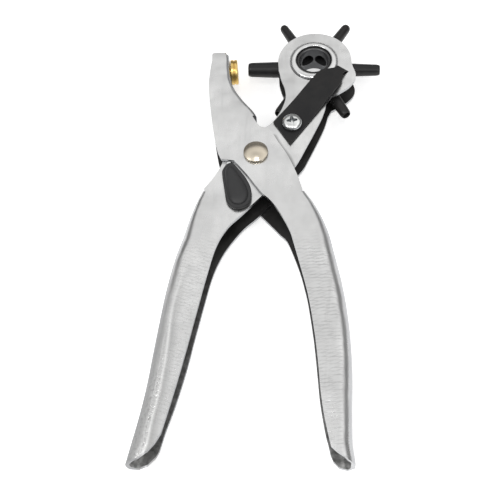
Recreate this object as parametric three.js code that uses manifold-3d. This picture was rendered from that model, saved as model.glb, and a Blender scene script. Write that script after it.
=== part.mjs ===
import * as THREE from 'three';
import { mergeVertices } from 'three/addons/utils/BufferGeometryUtils.js';
import Module from 'manifold-3d';

const wasm = await Module();
wasm.setup();

// Driving dimensions, mm. The tool lies flat: Z is the pivot axis, +Y points to the head.
const MID = 10.0;            // height of the tool's middle plane
const SHEET = 1.6;           // sheet steel
const GAP = 0.3;             // clearance between touching pieces
const FOLD_STEPS = 4;        // facets of a folded corner
const GRIP_FOLD_R = 5.4;     // fold radius along the grips
const EDGE_FOLD_R = 2.0;     // fold radius at the jaw and where a grip starts
const INNER_HALF = 6.5;      // half thickness of the inner lever
const OUTER_HALF = INNER_HALF + GAP + SHEET;
const TURRET_X = 24.8;
const TURRET_Y = 55.0;
const TIP_R = 31.5;          // turret axis to a punch tip
const HUB_R = 16.0;
const HUB_HALF = 4.6;
const BOSS_R = 8.0;
const BORE_R = 6.9;
const COLLAR_R = 11.4;
const COLLAR_H = 1.1;
const ROOT_R = 2.9;          // shank of a punch inside the hub
const ROOT_START = 10.0;     // inner end of the shank, from the turret axis
const PUNCHES = [            // [angle deg, tip radius, base radius]
  [180, 3.4, 3.8],
  [120, 2.05, 2.5],
  [60, 2.25, 2.7],
  [0, 2.65, 3.1],
  [-60, 2.45, 2.9],
  [-120, 2.8, 3.2],
];
const SHANK_R = 3.7;         // pivot rivet
const RIVET_HEAD_R = 5.6;
const ANVIL_R = 6.0;
const ANVIL_T = 3.4;
const ANVIL_TILT = 5.0;      // deg, face normal above +X
const ANVIL_X = -11.75;
const ANVIL_Y = 53.6;
const STRIP_T = 0.8;
const STRIP_X = 11.2;
const STRIP_Y = 12.1;
const STRIP_ANGLE = 54.3;    // deg, direction of the spring strip
const STRIP_LENGTH = 46.4;
const SCREW_AT = 6.6;        // along the strip
const SCREW_SIDE = 0.8;      // right of its middle line
const SCREW_R = 2.2;
const LATCH_X = -7.0;
const LATCH_Y = -23.0;
const LATCH_PIN_R = 1.7;

const rad = (deg) => deg * Math.PI / 180;
const vec = (pts) => pts.map(([x, y]) => new THREE.Vector2(x, y));
const smooth = (pts, n) => new THREE.SplineCurve(vec(pts)).getPoints(n).map((p) => [p.x, p.y]);

function toManifold(geometry) {
  const g = geometry.clone();
  g.deleteAttribute('normal');
  g.deleteAttribute('uv');
  const m = mergeVertices(g, 1e-5);
  const mesh = new wasm.Mesh({
    numProp: 3,
    vertProperties: new Float32Array(m.attributes.position.array),
    triVerts: new Uint32Array(m.index.array),
  });
  return new wasm.Manifold(mesh);
}

function fromManifold(solid) {
  const mesh = solid.getMesh();
  const g = new THREE.BufferGeometry();
  g.setAttribute('position', new THREE.BufferAttribute(new Float32Array(mesh.vertProperties), 3));
  g.setIndex(new THREE.BufferAttribute(new Uint32Array(mesh.triVerts), 1));
  g.computeVertexNormals();
  return g;
}

function prism(pts, z0, z1) {
  const shape = new THREE.Shape(vec(pts));
  const g = new THREE.ExtrudeGeometry(shape, { depth: z1 - z0, bevelEnabled: false, steps: 1 });
  g.translate(0, 0, z0);
  return toManifold(g);
}

function turned(profile, segments) {
  const g = new THREE.LatheGeometry(vec(profile), segments);
  g.rotateX(Math.PI / 2);
  return toManifold(g);
}

function rod(x, y, r, z0, z1, segments = 40) {
  return turned([[0, z0], [r, z0], [r, z1], [0, z1]], segments).translate([x, y, 0]);
}

function union(list) {
  return list.reduce((a, b) => a.add(b));
}

// Unit normals on the left of a path, which is the inner side of a fold.
function normals(path) {
  return path.map((p, i) => {
    const a = path[Math.max(i - 1, 0)];
    const b = path[Math.min(i + 1, path.length - 1)];
    const len = Math.hypot(b[0] - a[0], b[1] - a[1]);
    return [(a[1] - b[1]) / len, (b[0] - a[0]) / len];
  });
}

// Edge of the flat plate beside a fold, run a little way into it.
function inset(fold) {
  const side = normals(fold.path);
  return fold.path.map((p, i) => {
    const r = fold.radius(i) - 0.05;
    return [p[0] + r * side[i][0], p[1] + r * side[i][1]];
  });
}

// Closed ring of a folded edge: distance from the edge and height above the middle.
function ring(r, half) {
  const inner = r - SHEET;
  const pts = [[r + 0.5, half]];
  for (let k = 0; k <= FOLD_STEPS; k += 1) {
    const a = rad(90 + 90 * k / FOLD_STEPS);
    pts.push([r + r * Math.cos(a), half - r + r * Math.sin(a)]);
  }
  for (let k = 0; k <= FOLD_STEPS; k += 1) {
    const a = rad(180 + 90 * k / FOLD_STEPS);
    pts.push([r + r * Math.cos(a), r - half + r * Math.sin(a)]);
  }
  pts.push([r + 0.5, -half], [r + 0.5, SHEET - half]);
  for (let k = 0; k <= FOLD_STEPS; k += 1) {
    const a = rad(270 - 90 * k / FOLD_STEPS);
    pts.push([r + inner * Math.cos(a), r - half + inner * Math.sin(a)]);
  }
  for (let k = 0; k <= FOLD_STEPS; k += 1) {
    const a = rad(180 - 90 * k / FOLD_STEPS);
    pts.push([r + inner * Math.cos(a), half - r + inner * Math.sin(a)]);
  }
  pts.push([r + 0.5, half - SHEET]);
  return pts;
}

function folded(fold, half) {
  const side = normals(fold.path);
  const rings = fold.path.map((p, i) => ring(fold.radius(i), half).map(([n, z]) => [
    p[0] + n * side[i][0], p[1] + n * side[i][1], MID + z,
  ]));
  const count = rings[0].length;
  const index = [];
  for (let i = 0; i + 1 < rings.length; i += 1) {
    for (let j = 0; j < count; j += 1) {
      const k = (j + 1) % count;
      const a = i * count;
      const b = a + count;
      index.push(a + j, b + k, b + j, a + j, a + k, b + k);
    }
  }
  const caps = (at) => THREE.ShapeUtils.triangulateShape(vec(ring(fold.radius(at), half)), []);
  const last = (rings.length - 1) * count;
  caps(0).forEach(([a, b, c]) => index.push(a, c, b));
  caps(rings.length - 1).forEach(([a, b, c]) => index.push(last + a, last + b, last + c));
  const mesh = new wasm.Mesh({
    numProp: 3,
    vertProperties: new Float32Array(rings.flat(2)),
    triVerts: new Uint32Array(index),
  });
  return new wasm.Manifold(mesh);
}

// Solid between a rear outline and a front outline of the same point count.
function slanted(rear, front) {
  const count = rear.length;
  const low = rear.map(([x, y]) => [x, y, MID - 9.5]);
  const high = front.map(([x, y]) => [x, y, MID + 9.5]);
  const index = [];
  THREE.ShapeUtils.triangulateShape(vec(rear), []).forEach(([a, b, c]) => index.push(a, c, b));
  THREE.ShapeUtils.triangulateShape(vec(front), [])
    .forEach(([a, b, c]) => index.push(a + count, b + count, c + count));
  for (let i = 0; i < count; i += 1) {
    const j = (i + 1) % count;
    index.push(i, j, j + count, i, j + count, i + count);
  }
  const mesh = new wasm.Mesh({
    numProp: 3,
    vertProperties: new Float32Array(low.concat(high).flat()),
    triVerts: new Uint32Array(index),
  });
  return new wasm.Manifold(mesh);
}

function lever(front, rear, folds, half) {
  const plates = [
    prism(front, MID + half - SHEET, MID + half),
    prism(rear, MID - half, MID - half + SHEET),
  ];
  return union(plates.concat(folds.map((fold) => folded(fold, half))));
}

// Inner lever: left handle, neck and the fork that holds the turret.
const innerWeb = { path: smooth([
  [-22.9, -18.9], [-25.4, -24.7], [-27.9, -33.0], [-29.7, -40.4], [-32.5, -51.6], [-34.9, -66.9],
  [-36.3, -81.6],
  [-37.5, -95.8], [-38.6, -109.6], [-40.3, -122.8], [-42.2, -134.0], [-43.9, -144.0],
], 48), radius: (i) => EDGE_FOLD_R + (GRIP_FOLD_R - EDGE_FOLD_R) * Math.min(i / 14, 1) };
const innerFrontRight = smooth([
  [-33.4, -144.0], [-32.0, -137.5], [-30.4, -130.8], [-28.6, -122.5], [-25.9, -109.0], [-23.2, -94.0],
  [-20.4, -77.0], [-17.8, -61.5], [-14.9, -47.5], [-10.6, -38.0], [-4.6, -31.0], [3.3, -21.8],
  [12.0, -12.0],
  [17.7, -5.2], [22.4, 5.2], [26.4, 14.8], [29.4, 22.6], [31.4, 30.6],
], 72);
const innerRearRight = smooth([
  [-34.4, -144.0], [-32.9, -138.0], [-31.5, -131.5], [-30.2, -125.5], [-27.4, -114.9], [-24.2, -99.7],
  [-21.9, -85.3], [-19.3, -70.3], [-17.2, -58.7], [-15.0, -50.8], [-11.6, -42.8], [-6.4, -34.5],
  [-3.0, -30.3],
  [1.2, -26.1], [5.6, -20.4], [12.0, -12.0], [20.4, -0.5], [22.9, 4.6], [26.6, 13.7], [30.0, 22.9],
  [31.9, 30.4],
], 76);
const headRight = smooth([[33.4, 33.9], [37.6, 36.6], [41.4, 39.7], [44.0, 43.4], [44.6, 47.2],
  [43.2, 51.8]], 16);
const headArc = [];
for (let a = 0; a <= 180; a += 7.5) {
  headArc.push([TURRET_X + 0.4 + 17.4 * Math.cos(rad(a)), TURRET_Y - 0.2 + 17.4 * Math.sin(rad(a))]);
}
const innerLeft = smooth([
  [8.3, 49.2], [9.7, 44.2], [11.5, 39.0], [12.2, 33.4], [11.4, 28.8], [9.2, 23.0], [5.4, 17.4],
  [0.0, 14.0], [-6.0, 11.6], [-11.0, 7.0], [-13.8, 0.6], [-15.6, -6.4], [-18.7, -12.8], [-22.2, -18.2],
], 48);
const innerRest = headRight.concat(headArc, innerLeft);
const innerEndFront = [[-48.0, -143.0], [-41.5, -141.9], [-37.9, -140.0], [-34.4, -136.8],
  [-32.1, -133.7], [-29.4, -128.5]];
const innerEndRear = [[-48.0, -141.5], [-43.0, -141.7], [-39.5, -141.5], [-36.5, -140.3],
  [-33.5, -137.2], [-31.2, -132.0]];
const below = (pts, x) => pts.concat([[x, pts[pts.length - 1][1]], [x, -160], [pts[0][0], -160]]).reverse();
let inner = lever(
  inset(innerWeb).concat(innerFrontRight, innerRest),
  inset(innerWeb).concat(innerRearRight, innerRest),
  [innerWeb],
  INNER_HALF,
).subtract(slanted(below(innerEndRear, -10), below(innerEndFront, -10)));

// Outer lever: anvil jaw and right handle.
const jawWeb = { path: smooth([
  [-0.9, 21.6], [-3.0, 25.0], [-7.8, 30.9], [-11.7, 36.9], [-13.9, 42.4], [-14.9, 47.6],
], 20).concat([[-15.9, 57.8]]), radius: () => EDGE_FOLD_R };
const jawTop = [[-17.2, 58.5], [-22.7, 58.5], [-23.9, 57.5], [-23.7, 54.0]];
const outerLeft = smooth([
  [-24.0, 49.6], [-24.2, 41.0], [-23.3, 31.6], [-20.7, 15.6], [-17.9, 2.8], [-15.3, -3.4],
], 24);
const outerFrontInner = smooth([
  [-9.6, -4.1], [-3.4, -11.6], [3.3, -20.6], [7.6, -24.9], [12.0, -31.1], [16.4, -39.6], [19.0, -48.0],
  [22.0, -58.6], [25.0, -70.2], [27.6, -84.6], [29.4, -98.0], [30.7, -111.0], [32.2, -121.0],
  [33.9, -128.7],
  [35.4, -135.0], [37.4, -144.0],
], 60);
const outerRearInner = smooth([
  [-9.6, -4.1], [-4.6, -12.6], [-0.4, -20.0], [3.8, -24.9], [7.6, -29.0], [11.3, -33.1], [15.0, -37.1],
  [18.4, -45.1], [21.2, -53.0], [23.3, -60.7], [25.0, -68.3], [27.4, -83.1], [29.1, -97.4], [30.6, -111.1],
  [32.8, -123.4], [34.2, -128.8], [35.6, -135.0], [37.4, -144.0],
], 62);
const handleWeb = { path: smooth([
  [44.7, -144.0], [44.3, -138.0], [43.3, -130.6], [43.1, -118.0], [43.2, -104.9], [42.65, -91.3],
  [41.3, -77.3],
  [38.9, -62.7], [35.4, -47.8], [33.4, -39.9], [30.3, -32.0], [26.4, -24.8], [22.3, -19.2],
], 48), radius: (i) => EDGE_FOLD_R + (GRIP_FOLD_R - EDGE_FOLD_R) * Math.min((48 - i) / 14, 1) };
const outerRight = smooth([[21.3, -19.0], [20.1, -15.2], [18.9, -11.6], [16.9, -6.8], [13.9, -0.4],
  [9.8, 6.2], [6.6, 12.0]], 18);
const throat = [[4.4, 14.0], [1.0, 15.0], [-0.4, 16.8]];
const outerEndFront = [[52.0, -141.5], [43.5, -139.9], [41.8, -138.7], [39.4, -136.8], [37.3, -135.5],
  [34.6, -133.2]];
const outerEndRear = [[52.0, -137.4], [44.1, -138.0], [41.5, -138.4], [38.3, -137.4], [36.4, -135.4],
  [35.2, -132.6]];
let outer = lever(
  [].concat(inset(jawWeb), jawTop, outerLeft, outerFrontInner, inset(handleWeb), outerRight, throat),
  [].concat(inset(jawWeb), jawTop, outerLeft, outerRearInner, inset(handleWeb), outerRight, throat),
  [jawWeb, handleWeb],
  OUTER_HALF,
).subtract(slanted(below(outerEndRear, 20).reverse(), below(outerEndFront, 20).reverse()));

// Holes in the levers.
const through = (x, y, r, seg) => rod(x, y, r, MID - 20, MID + 20, seg);
const front = (x, y, r, seg) => rod(x, y, r, MID + 3, MID + 20, seg);
const along = [Math.cos(rad(STRIP_ANGLE)), Math.sin(rad(STRIP_ANGLE))];
const stripPoint = (s, t) => [
  STRIP_X + s * along[0] + t * along[1],
  STRIP_Y + s * along[1] - t * along[0],
];
const screw = stripPoint(SCREW_AT, SCREW_SIDE);
const slot = [[STRIP_LENGTH - 1.2, -2.9], [STRIP_LENGTH - 1.2, 3.1], [STRIP_LENGTH + 0.9, 3.1],
  [STRIP_LENGTH + 0.9, -2.9]];
inner = inner
  .subtract(through(0, 0, SHANK_R + GAP, 40))
  .subtract(through(TURRET_X, TURRET_Y, BOSS_R + GAP, 60))
  .subtract(front(screw[0], screw[1], SCREW_R + GAP, 32))
  .subtract(front(LATCH_X, LATCH_Y, LATCH_PIN_R + GAP, 24))
  .subtract(prism(slot.map(([s, t]) => stripPoint(s, t)).reverse(), MID + 3, MID + 20));
outer = outer.subtract(through(0, 0, SHANK_R + GAP, 40));

// Pivot rivet: domed head in front, flat head behind.
const rivetBase = OUTER_HALF + GAP;
const dome = [];
for (let a = 0; a <= 90; a += 15) {
  dome.push([RIVET_HEAD_R * Math.cos(rad(a)), MID + rivetBase + 0.5 + 1.8 * Math.sin(rad(a))]);
}
dome[dome.length - 1][0] = 0;
const rivet = turned([
  [0, MID - rivetBase - 1.3], [4.9, MID - rivetBase - 1.3], [RIVET_HEAD_R, MID - rivetBase - 0.6],
  [RIVET_HEAD_R, MID - rivetBase], [SHANK_R, MID - rivetBase], [SHANK_R, MID + rivetBase],
  [RIVET_HEAD_R, MID + rivetBase], ...dome,
], 48);

// Return spring round the rivet, with one leg in each lever.
const COIL_R = 5.6;
const WIRE_R = 0.75;
const TURNS = 4.3;
const START = rad(200);
class SpringPath extends THREE.Curve {
  getPoint(u, target = new THREE.Vector3()) {
    const legs = 0.12;
    const v = Math.min(Math.max((u - legs) / (1 - 2 * legs), 0), 1);
    const a = START + v * TURNS * 2 * Math.PI;
    const z = MID - 3.6 + 7.2 * v;
    const out = u < legs ? (legs - u) / legs : Math.max((u - 1 + legs) / legs, 0);
    const way = u < legs ? 1 : -1;
    const x = COIL_R * Math.cos(a) + way * out * 20 * Math.sin(a);
    const y = COIL_R * Math.sin(a) - way * out * 20 * Math.cos(a);
    return target.set(x, y, z);
  }
}
const wire = new THREE.Shape();
wire.absarc(0, 0, WIRE_R, 0, 2 * Math.PI, false);
const springGeometry = new THREE.ExtrudeGeometry(wire, {
  steps: 100, curveSegments: 3, bevelEnabled: false, extrudePath: new SpringPath(),
});

// Turret hub with radial sockets and index dimples.
const stripEnd = stripPoint(STRIP_LENGTH, 0);
const slotAngle = Math.atan2(stripEnd[1] - TURRET_Y, stripEnd[0] - TURRET_X);
const boss = INNER_HALF + 0.7;
let hub = turned([
  [BORE_R, -boss], [BOSS_R, -boss], [BOSS_R, -HUB_HALF], [HUB_R - 0.8, -HUB_HALF], [HUB_R, -HUB_HALF + 0.8],
  [HUB_R, HUB_HALF - 0.8], [HUB_R - 0.8, HUB_HALF], [BOSS_R, HUB_HALF], [BOSS_R, boss], [BORE_R, boss],
  [BORE_R, -boss],
], 72);
for (let i = 0; i < PUNCHES.length; i += 1) {
  const socket = rod(0, 0, ROOT_R + GAP, 2, HUB_R + 2, 32).rotate([0, 90, PUNCHES[i][0]]);
  const a = slotAngle + rad(60 * i);
  const dimple = turned([[0, HUB_HALF - 1.0], [1.0, HUB_HALF - 0.7], [1.7, HUB_HALF + 0.5],
    [0, HUB_HALF + 0.5]], 20)
    .translate([14.0 * Math.cos(a), 14.0 * Math.sin(a), 0]);
  hub = hub.subtract(socket).subtract(dimple);
}
hub = hub.translate([TURRET_X, TURRET_Y, MID]);

// Punch tube: shank in the hub, tapered outside, cutting bevel at the tip.
function punch(angle, tip, base) {
  const hole = Math.min(tip - 0.65, 2.3);
  const start = ROOT_START;
  return turned([
    [hole, start], [ROOT_R, start], [ROOT_R, HUB_R + GAP], [base, HUB_R + GAP], [base, HUB_R + 4],
    [tip, TIP_R - 1.2], [tip - 0.5, TIP_R], [hole, TIP_R], [hole, start],
  ], 28).rotate([0, 90, angle]).translate([TURRET_X, TURRET_Y, MID]);
}

// Raised collar round a head hole.
function collar(side) {
  const z = INNER_HALF + GAP;
  const r0 = BOSS_R + GAP;
  const profile = [
    [r0, z], [COLLAR_R, z], [COLLAR_R - 0.3, z + 0.6], [COLLAR_R - 1.1, z + COLLAR_H],
    [r0 + 0.6, z + COLLAR_H], [r0, z + 0.7], [r0, z],
  ];
  const collarRing = turned(profile, 56);
  return (side > 0 ? collarRing : collarRing.rotate([180, 0, 0])).translate([TURRET_X, TURRET_Y, MID]);
}

// Brass anvil with a spigot through the jaw web.
const SPIGOT_R = 2.0;
const anvil = turned([
  [0, -ANVIL_T - 0.3 - SHEET - 0.9], [SPIGOT_R, -ANVIL_T - 0.3 - SHEET - 0.9], [SPIGOT_R, -ANVIL_T],
  [ANVIL_R, -ANVIL_T], [ANVIL_R, -0.4], [ANVIL_R - 0.4, 0], [0, 0],
], 48).rotate([0, 90, ANVIL_TILT]).translate([ANVIL_X, ANVIL_Y, MID]);
const spigotHole = rod(0, 0, SPIGOT_R + GAP, -8, 0, 32)
  .rotate([0, 90, ANVIL_TILT])
  .translate([ANVIL_X, ANVIL_Y, MID]);
outer = outer.subtract(spigotHole);

// Index spring: bowed strip, tab bent down into the slot.
const low = INNER_HALF + GAP;
const high = INNER_HALF + GAP + COLLAR_H + GAP + 0.2;
const under = smooth([[14, low], [20, low + 0.35], [28, high - 0.35], [33, high], [40, high]], 14);
const over = smooth([[40, high + STRIP_T], [33, high + STRIP_T], [28, high - 0.35 + STRIP_T],
  [20, low + 0.35 + STRIP_T], [14, low + STRIP_T]], 14);
const tabIn = STRIP_LENGTH - 0.55;
const side = [].concat(
  [[-4, low]], under,
  [[tabIn - 1.4, high - 0.1], [tabIn - 0.4, high - 0.7], [tabIn, high - 1.6], [tabIn, 4.9]],
  [[tabIn + STRIP_T, 4.9], [tabIn + STRIP_T, high - 1.4], [tabIn + 0.2, high + 0.1],
  [tabIn - 1.0, high + STRIP_T - 0.1]],
  over, [[-4, low + STRIP_T]],
);
const plan = [
  [2.4, -6.9], [36.6, -7.2], [38.8, -6.8], [40.4, -5.4], [43.4, -2.5], [STRIP_LENGTH + 1, -2.3],
  [STRIP_LENGTH + 1, 2.5], [43.0, 2.7], [41.4, 3.9], [39.2, 4.9], [36.0, 5.5], [22.0, 5.9], [0, 7.0],
  [-3.0, 7.4],
];
const strip = prism(side, -9, 9)
  .rotate([90, 0, 0])
  .intersect(prism(plan, 0, 20))
  .subtract(rod(SCREW_AT, SCREW_SIDE, SCREW_R + GAP, 0, 20, 32))
  .mirror([0, 1, 0])
  .rotate([0, 0, STRIP_ANGLE])
  .translate([STRIP_X, STRIP_Y, MID]);

// Pan head screw with a cross recess, and its nut.
const headZ = low + STRIP_T + GAP;
let screwSolid = turned([
  [0, 1.6], [SCREW_R, 1.6], [SCREW_R, headZ], [4.6, headZ], [4.6, headZ + 0.9], [4.1, headZ + 1.8],
  [3.0, headZ + 2.3], [0, headZ + 2.5],
], 40);
for (const turn of [0, 90]) {
  const arm = prism([[-2.7, -0.5], [2.7, -0.5], [2.7, 0.5], [-2.7, 0.5]], headZ + 0.9, headZ + 4)
    .rotate([0, 0, turn + 9]);
  screwSolid = screwSolid.subtract(arm);
}
screwSolid = screwSolid.translate([screw[0], screw[1], MID]);
const hex = [];
for (let a = 30; a < 390; a += 60) {
  hex.push([4.6 * Math.cos(rad(a)), 4.6 * Math.sin(rad(a))]);
}
const nut = prism(hex, 2.2, 4.6)
  .subtract(rod(0, 0, SCREW_R + GAP, 0, 8, 32))
  .rotate([0, 0, STRIP_ANGLE])
  .translate([screw[0], screw[1], MID]);

// Thumb latch: flange and raised pad of plastic, steel catch below its tip.
const flange = smooth([
  [-10.9, -5.2], [-12.8, -6.2], [-14.5, -9.4], [-14.2, -13.0], [-13.1, -18.6], [-11.8, -24.8],
  [-10.2, -27.4], [-7.4, -29.1], [-4.4, -28.6], [-1.8, -26.6], [-0.8, -23.4], [-1.2, -19.0],
  [-2.9, -14.8], [-5.2, -11.2], [-8.2, -7.4], [-9.7, -5.7], [-10.9, -5.2],
], 44).slice(0, -1);
const pad = smooth([
  [-11.3, -7.4], [-12.9, -9.4], [-12.9, -13.0], [-11.9, -18.4], [-10.7, -23.4], [-9.2, -26.4],
  [-6.8, -27.6], [-4.2, -26.8], [-2.6, -24.2], [-2.6, -20.8], [-4.2, -16.6], [-6.8, -12.4],
  [-9.4, -8.6], [-11.3, -7.4],
], 40).slice(0, -1);
const catchOutline = [[-11.2, -4.2], [-13.0, -4.6], [-13.4, -8.2], [-12.8, -12.4], [-9.6, -12.4],
  [-8.6, -9.4], [-9.6, -6.4]];
const catchRoom = [[-10.6, -3.5], [-13.5, -4.0], [-13.8, -8.2], [-13.2, -12.9], [-9.2, -12.9],
  [-8.1, -9.4], [-8.8, -5.9]];
let latch = prism(flange, MID + low, MID + low + 1.8)
  .add(prism(pad, MID + low + 1.7, MID + low + 3.6))
  .subtract(prism(catchRoom, MID + low - 1, MID + low + 1.2))
  .subtract(rod(LATCH_X, LATCH_Y, LATCH_PIN_R + GAP, MID + low - 1, MID + low + 2.2, 24));
const catchPlate = prism(catchOutline, MID + low, MID + low + 0.9);
const latchPin = turned([
  [0, 3.8], [3.0, 3.8], [3.0, 4.6], [LATCH_PIN_R, 4.6], [LATCH_PIN_R, low + 1.9], [0, low + 1.9],
], 32).translate([LATCH_X, LATCH_Y, MID]);

const NICKEL = { color: 0xc9c7c2, roughness: 0.32, metalness: 1.0 };
const BLACK_OXIDE = { color: 0x1b1b1d, roughness: 0.45, metalness: 0.8 };
const BRASS = { color: 0xc49a45, roughness: 0.35, metalness: 1.0 };
const PLASTIC = { color: 0x141415, roughness: 0.5, metalness: 0.0 };
const SPRING_STEEL = { color: 0x8d8f92, roughness: 0.4, metalness: 1.0 };

const group = new THREE.Group();
group.name = 'rotary_hole_punch';
function add(name, geometry, look) {
  const mesh = new THREE.Mesh(geometry, new THREE.MeshStandardMaterial(look));
  mesh.name = name;
  group.add(mesh);
}

add('outer_lever', fromManifold(outer), NICKEL);
add('inner_lever', fromManifold(inner), NICKEL);
add('pivot_rivet', fromManifold(rivet), NICKEL);
add('return_spring', springGeometry, SPRING_STEEL);
add('anvil_pad', fromManifold(anvil), BRASS);
add('turret_hub', fromManifold(hub), BLACK_OXIDE);
PUNCHES.forEach(([angle, tip, base], i) => {
  add(`punch_tube_${i + 1}`, fromManifold(punch(angle, tip, base)), BLACK_OXIDE);
});
add('collar_front', fromManifold(collar(1)), NICKEL);
add('collar_rear', fromManifold(collar(-1)), NICKEL);
add('index_spring', fromManifold(strip), BLACK_OXIDE);
add('index_screw', fromManifold(screwSolid), NICKEL);
add('index_nut', fromManifold(nut), NICKEL);
add('latch_body', fromManifold(latch), PLASTIC);
add('latch_catch', fromManifold(catchPlate), NICKEL);
add('latch_pin', fromManifold(latchPin), NICKEL);

export default group;
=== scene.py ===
import math

import bmesh
import bpy
from mathutils import Matrix, Vector
from mathutils.geometry import tessellate_polygon


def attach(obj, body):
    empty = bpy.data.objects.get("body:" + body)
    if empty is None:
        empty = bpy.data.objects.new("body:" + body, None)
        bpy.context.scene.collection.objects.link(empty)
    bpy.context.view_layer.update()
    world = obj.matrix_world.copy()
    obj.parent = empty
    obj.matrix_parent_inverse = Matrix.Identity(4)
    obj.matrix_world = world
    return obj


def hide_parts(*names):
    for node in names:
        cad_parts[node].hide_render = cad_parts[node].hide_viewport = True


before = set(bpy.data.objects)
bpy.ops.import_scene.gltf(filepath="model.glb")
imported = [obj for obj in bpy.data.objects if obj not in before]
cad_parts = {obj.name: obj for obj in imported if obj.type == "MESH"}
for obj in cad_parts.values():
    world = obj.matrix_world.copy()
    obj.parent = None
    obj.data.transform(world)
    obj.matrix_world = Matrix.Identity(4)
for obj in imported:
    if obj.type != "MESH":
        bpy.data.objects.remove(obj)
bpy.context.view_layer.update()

# Dimensions in millimetres, as in the CAD model.
MM = 0.001
MID = 10.0
SHEET = 1.6
GAP = 0.3
INNER_HALF = 6.5
OUTER_HALF = INNER_HALF + GAP + SHEET
TURRET = (24.8, 55.0)
TIP_R = 31.5
HUB_R = 16.0
HUB_HALF = 4.6
BOSS_R = 8.0
BORE_R = 6.9
COLLAR_R = 11.4
ROOT_R = 2.9
ROOT_START = 10.0
PUNCHES = [
    (180, 3.4, 3.8),
    (120, 2.05, 2.5),
    (60, 2.25, 2.7),
    (0, 2.65, 3.1),
    (-60, 2.45, 2.9),
    (-120, 2.8, 3.2),
]
SHANK_R = 3.7
RIVET_HEAD_R = 5.6
ANVIL = (-11.75, 53.6)
ANVIL_TILT = 5.0
ANVIL_R = 6.0
ANVIL_T = 3.4
STRIP_T = 0.8
STRIP_AT = (11.2, 12.1)
STRIP_ANGLE = math.radians(54.3)
STRIP_LENGTH = 46.4
SCREW_AT = 6.6
SCREW_SIDE = 0.8
SCREW_R = 2.2
SCREW_HEAD_R = 4.6
NUT_CORNER_R = 4.6
LATCH_PIN = (-7.0, -23.0)
LATCH_BORE_R = 2.0
LOW = INNER_HALF + GAP
HIGH = LOW + 1.1 + GAP + 0.2
GRIP_FOLD_R = 5.4
EDGE_FOLD_R = 2.0

# Edges with a larger angle than this, in degrees, stay sharp.
SHARP = 35


# ---------------------------------------------------------------- shapes

def smooth(pts, n):
    """Uniform Catmull-Rom curve through the points."""
    out = []
    last = len(pts) - 1
    for i in range(n + 1):
        p = last * i / n
        k = min(int(p), last - 1) if i < n else last
        w = p - k
        p0 = pts[max(k - 1, 0)]
        p1 = pts[k]
        p2 = pts[min(k + 1, last)]
        p3 = pts[min(k + 2, last)]
        q = []
        for a, b, c, d in zip(p0, p1, p2, p3):
            v0 = (c - a) / 2
            v1 = (d - b) / 2
            q.append((2 * b - 2 * c + v0 + v1) * w ** 3 + (-3 * b + 3 * c - 2 * v0 - v1) * w * w + v0 * w + b)
        out.append(tuple(q))
    return out


def normals(path):
    """Unit normals to the left of the path, one for each point."""
    out = []
    for i in range(len(path)):
        a = path[max(i - 1, 0)]
        b = path[min(i + 1, len(path) - 1)]
        size = math.hypot(b[0] - a[0], b[1] - a[1])
        out.append(((a[1] - b[1]) / size, (b[0] - a[0]) / size))
    return out


def circle(x, y, r, n):
    """n points round a circle."""
    return [(x + r * math.cos(2 * math.pi * i / n), y + r * math.sin(2 * math.pi * i / n)) for i in range(n)]


def keep_sharp(bm, angle):
    """Shades the blunter edges smooth and leaves the others sharp."""
    limit = math.radians(angle)
    for e in bm.edges:
        if len(e.link_faces) == 2:
            e.smooth = e.calc_face_angle(0.0) < limit


def finish_mesh(bm, name, sharp=SHARP, weld=1e-6):
    """Welds, points the faces out, and shades smooth with sharp edges kept."""
    bmesh.ops.remove_doubles(bm, verts=bm.verts, dist=weld)
    bmesh.ops.recalc_face_normals(bm, faces=bm.faces)
    for f in bm.faces:
        f.smooth = True
    keep_sharp(bm, sharp)
    me = bpy.data.meshes.new(name)
    bm.to_mesh(me)
    bm.free()
    ob = bpy.data.objects.new(name, me)
    bpy.context.scene.collection.objects.link(ob)
    return ob


def bevel(ob, width, segments, angle, edge_material=-1):
    """Rounds the edges sharper than angle. Material -1 keeps that of the faces beside an edge."""
    m = ob.modifiers.new("edge", "BEVEL")
    m.width = width * MM
    m.segments = segments
    m.limit_method = "ANGLE"
    m.angle_limit = math.radians(angle)
    m.harden_normals = False
    m.material = edge_material
    return ob


def lathe(name, profile, segments=64, matrix=None, closed=False, sharp=SHARP):
    """Turned piece: profile of (radius, height), about Z. A point on the axis is one vertex."""
    bm = bmesh.new()
    rings = []
    for r, z in profile:
        if r < 1e-6:
            rings.append([bm.verts.new((0, 0, z * MM))])
        else:
            rings.append([bm.verts.new((x * MM, y * MM, z * MM)) for x, y in circle(0, 0, r, segments)])
    pairs = list(zip(rings, rings[1:]))
    if closed:
        pairs.append((rings[-1], rings[0]))
    for a, b in pairs:
        for i in range(segments):
            j = (i + 1) % segments
            quad = [a[i % len(a)], a[j % len(a)], b[j % len(b)], b[i % len(b)]]
            quad = list(dict.fromkeys(quad))
            if len(quad) > 2:
                bm.faces.new(quad)
    if matrix is not None:
        bmesh.ops.transform(bm, matrix=matrix, verts=bm.verts)
    return finish_mesh(bm, name, sharp)


def prism(bm, outline, holes, z0, z1):
    """Solid plate with holes, added to bm."""
    loops = [outline] + holes
    flat = [p for loop in loops for p in loop]
    tris = tessellate_polygon([[Vector((x, y, 0)) for x, y in loop] for loop in loops])
    top = [bm.verts.new((x * MM, y * MM, z1 * MM)) for x, y in flat]
    low = [bm.verts.new((x * MM, y * MM, z0 * MM)) for x, y in flat]
    for t in tris:
        bm.faces.new([top[i] for i in t])
        bm.faces.new([low[i] for i in reversed(t)])
    k = 0
    for loop in loops:
        for i in range(len(loop)):
            a = k + i
            b = k + (i + 1) % len(loop)
            bm.faces.new([low[a], low[b], top[b], top[a]])
        k += len(loop)


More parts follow.
